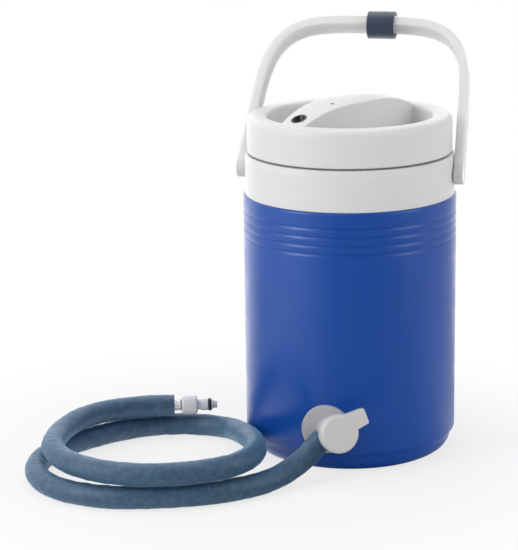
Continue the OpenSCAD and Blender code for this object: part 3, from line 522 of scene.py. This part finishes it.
def jacket_outline():
    """Section of the blue wall with its rolled grooves, from the base joint up to the collar."""
    line = rounded([(WALL_IN_R, JUG_BOTTOM, FOOT_IN_ROUND), (JUG_R, JUG_BOTTOM, FOOT_ROUND),
                    (JUG_R, JUG_TOP, TOP_ROUND), (NECK_IN_R, JUG_TOP, 0),
                    (NECK_IN_R, JUG_TOP - LIP_H, 0), (WALL_IN_R, JUG_TOP - LIP_SLOPE_H, 0)])
    at = max(i for i, (r, z) in enumerate(line) if z < JUG_TOP / 2 and r > JUG_R - 0.01) + 1
    grooves = []
    for i in reversed(range(GROOVE_COUNT)):
        middle = JUG_TOP - GROOVE_DROP - i * GROOVE_PITCH
        for k in range(GROOVE_STEPS + 1):
            share = k / GROOVE_STEPS - 0.5
            depth = GROOVE_D * (1 - 2 * abs(share)) ** GROOVE_ROLL
            grooves.append((JUG_R - depth, middle + GROOVE_W * share))
    return line[:at] + grooves + line[at:]


def with_valve_hole(mesh):
    """The wall's mesh with the seat and the hole of the valve cut into it."""
    wall = bpy.data.objects.new("wall_form", mesh)
    bpy.context.scene.collection.objects.link(wall)
    cutters = []
    valve_line = Vector((VALVE_AT.x, 0, VALVE_AT.z)) * MM
    place = Matrix.Translation(valve_line) @ Matrix.Rotation(math.pi / 2, 4, "X")
    for radius, near in ((VALVE_HOLE_R, HOLE_FROM), (VALVE_SEAT_R, SEAT_FROM)):
        section = [(0, near), (radius, near), (radius, CUT_TO), (0, CUT_TO)]
        form = revolved("cutter", section, CUTTER_SEGMENTS, place)
        cutter = bpy.data.objects.new("cutter", form)
        bpy.context.scene.collection.objects.link(cutter)
        cut = wall.modifiers.new("cut", "BOOLEAN")
        cut.operation = "DIFFERENCE"
        cut.solver = "EXACT"
        cut.object = cutter
        cutters.append(cutter)
    made = wall.evaluated_get(bpy.context.evaluated_depsgraph_get())
    result = bpy.data.meshes.new_from_object(made)
    for obj in (wall, *cutters):
        bpy.data.objects.remove(obj)
    return result


wall_mesh = with_valve_hole(revolved("jacket_wall", jacket_outline(), WALL_SEGMENTS))
new_piece("jacket_wall", wall_mesh, M["blue"], "jug", ["outer_jacket"])
wall_mesh.set_sharp_from_angle(angle=WALL_SHARP)

# ---------------------------------------------------------------- moulded forms

SOFT_FORMS = [  # node, piece, finish, body, slot, voxel in millimetres, rounds of smoothing
    ("lid_shell", "lid_dome", "lid_white", "lid", "white_plastic", 0.7, 6),
    ("handle", "carry_handle", "handle_white", "handle", "white_plastic", 0.55, 6),
    ("hose_clip", "hose_clip_form", "navy", "hose_clip", "navy_plastic", 0.4, 6),
    ("valve_body", "valve_housing", "valve_white_and_painted_shade", "jug", "white_plastic", 0.4, 6),
    ("valve_knob", "knob_form", "knob_white", "valve_lever", "white_plastic", 0.4, 8),
]
for node, piece, finish, body, slot, voxel, rounds in SOFT_FORMS:
    new_piece(piece, softened(node, piece, voxel, rounds), M[finish], body, [node])

# ---------------------------------------------------------------- stage and light

DARK_SIDE = (0.3971, -0.9178, 0.0)  # level directions from the jug to parts of the studio
LEFT_CARD = (-0.7501, -0.6613, 0.0)
SIDE_GLOW, DARK_GLOW, BACK_GLOW, CARD_GLOW = 0.75, 0.02, 1.3, 0.55
STUDIO = [  # a direction, two cosines to it and the brightness at each, all added up
    (DARK_SIDE, 0.2, 1.0, SIDE_GLOW, DARK_GLOW),
    (DARK_SIDE, -0.9, -0.5, BACK_GLOW, 0),
    (LEFT_CARD, 0.75, 1.0, 0, CARD_GLOW),
]
FLOOR_HALF = 6.0
FLOOR_WHITE = (0.95, 0.95, 0.95, 1)
SHADOW_MIDDLE = (-0.07, -0.07, 0)
SHADOW_REACH = 0.15, 0.4  # metres from there, over which the clean white of the paper comes in
CLEAN_SHARE = 0.74, 1.0   # its share at these two distances
PAPER = (1, 1, 1, 1)
AMBIENT = 0.46
LAMPS = [  # name, place, aimed at, size, power in watts
    ("key", (-1.55, -1.4, 1.2), (0, 0, 0.15), (0.8, 1.6), 20.5),
    ("fill", (1.9, -0.4, 0.9), (0, 0, 0.15), (0.9, 1.5), 8.5),
    ("top", (-0.2, 0.2, 2.0), (0, 0, 0.2), (1.4, 1.4), 6),
]


def math_node(nodes, links, operation, a, b):
    node = nodes.new("ShaderNodeMath")
    node.operation = operation
    for socket, value in zip(node.inputs, (a, b)):
        if isinstance(value, (int, float)):
            socket.default_value = value
        else:
            links.new(value, socket)
    return node.outputs[0]


def side_glow(nodes, links, place):
    """Brightness of a studio with its walls lit at the sides and back and dark round the camera."""
    level = nodes.new("ShaderNodeVectorMath")
    level.operation = "MULTIPLY"
    level.inputs[1].default_value = (1, 1, 0)
    links.new(place, level.inputs[0])
    unit = nodes.new("ShaderNodeVectorMath")
    unit.operation = "NORMALIZE"
    links.new(level.outputs[0], unit.inputs[0])
    total = 0.0
    for toward, *numbers in STUDIO:
        facing = nodes.new("ShaderNodeVectorMath")
        facing.operation = "DOT_PRODUCT"
        facing.inputs[1].default_value = toward
        links.new(unit.outputs[0], facing.inputs[0])
        ramp = nodes.new("ShaderNodeMapRange")
        set_range(ramp, *numbers)
        links.new(facing.outputs["Value"], ramp.inputs["Value"])
        total = math_node(nodes, links, "ADD", ramp.outputs["Result"], total)
    return total


def make_stage():
    """Floor that reads as white paper, keeps a soft shadow by the part and glows as the studio in gloss."""
    mesh = bpy.data.meshes.new("floor")
    h = FLOOR_HALF
    mesh.from_pydata([(-h, -h, 0), (h, -h, 0), (h, h, 0), (-h, h, 0)], [], [(0, 1, 2, 3)])
    floor = bpy.data.objects.new("floor", mesh)
    bpy.context.scene.collection.objects.link(floor)
    mat = bpy.data.materials.new("floor_white")
    mat.use_nodes = True
    nodes, links = mat.node_tree.nodes, mat.node_tree.links
    nodes.clear()
    out = nodes.new("ShaderNodeOutputMaterial")
    mix = nodes.new("ShaderNodeMixShader")
    matt = nodes.new("ShaderNodeBsdfDiffuse")
    glow = nodes.new("ShaderNodeEmission")
    path = nodes.new("ShaderNodeLightPath")
    place = nodes.new("ShaderNodeTexCoord").outputs["Object"]
    reach = nodes.new("ShaderNodeVectorMath")
    reach.operation = "DISTANCE"
    reach.inputs[1].default_value = SHADOW_MIDDLE
    links.new(place, reach.inputs[0])
    clean = nodes.new("ShaderNodeMapRange")
    clean.interpolation_type = "SMOOTHSTEP"
    set_range(clean, *SHADOW_REACH, *CLEAN_SHARE)
    links.new(reach.outputs["Value"], clean.inputs["Value"])
    matt.inputs["Color"].default_value = FLOOR_WHITE
    glow.inputs["Color"].default_value = PAPER
    camera_ray, glossy_ray = path.outputs["Is Camera Ray"], path.outputs["Is Glossy Ray"]
    seen = math_node(nodes, links, "MULTIPLY", camera_ray, clean.outputs["Result"])
    share = math_node(nodes, links, "MAXIMUM", seen, glossy_ray)
    walls = side_glow(nodes, links, place)
    mirrored = math_node(nodes, links, "MULTIPLY", walls, glossy_ray)
    links.new(math_node(nodes, links, "MAXIMUM", camera_ray, mirrored), glow.inputs["Strength"])
    links.new(share, mix.inputs["Fac"])
    links.new(matt.outputs[0], mix.inputs[1])
    links.new(glow.outputs[0], mix.inputs[2])
    links.new(mix.outputs[0], out.inputs["Surface"])
    mesh.materials.append(mat)


def make_world():
    """White to the camera, the studio's walls to gloss and a plain level to matt surfaces."""
    world = bpy.data.worlds.new("studio")
    bpy.context.scene.world = world
    world.use_nodes = True
    nodes, links = world.node_tree.nodes, world.node_tree.links
    back = nodes["Background"]
    back.inputs["Color"].default_value = PAPER
    path = nodes.new("ShaderNodeLightPath")
    place = nodes.new("ShaderNodeTexCoord").outputs["Generated"]
    walls = side_glow(nodes, links, place)
    clear_view = math_node(nodes, links, "MAXIMUM", path.outputs["Is Camera Ray"],
                           path.outputs["Is Transmission Ray"])
    mirrored = math_node(nodes, links, "MULTIPLY", walls, path.outputs["Is Glossy Ray"])
    lit = math_node(nodes, links, "MAXIMUM", clear_view, mirrored)
    ambient = math_node(nodes, links, "MULTIPLY", path.outputs["Is Diffuse Ray"], AMBIENT)
    links.new(math_node(nodes, links, "MAXIMUM", lit, ambient), back.inputs["Strength"])


def lamp(name, at, toward, size, power):
    """Rectangular area lamp."""
    data = bpy.data.lights.new(name, "AREA")
    data.shape = "RECTANGLE"
    data.size, data.size_y = size
    data.energy = power
    obj = bpy.data.objects.new(name, data)
    obj.location = at
    obj.rotation_euler = (Vector(toward) - Vector(at)).to_track_quat("-Z", "Y").to_euler()
    bpy.context.scene.collection.objects.link(obj)


make_stage()
make_world()
for each in LAMPS:
    lamp(*each)

bpy.context.scene.view_settings.view_transform = "Standard"
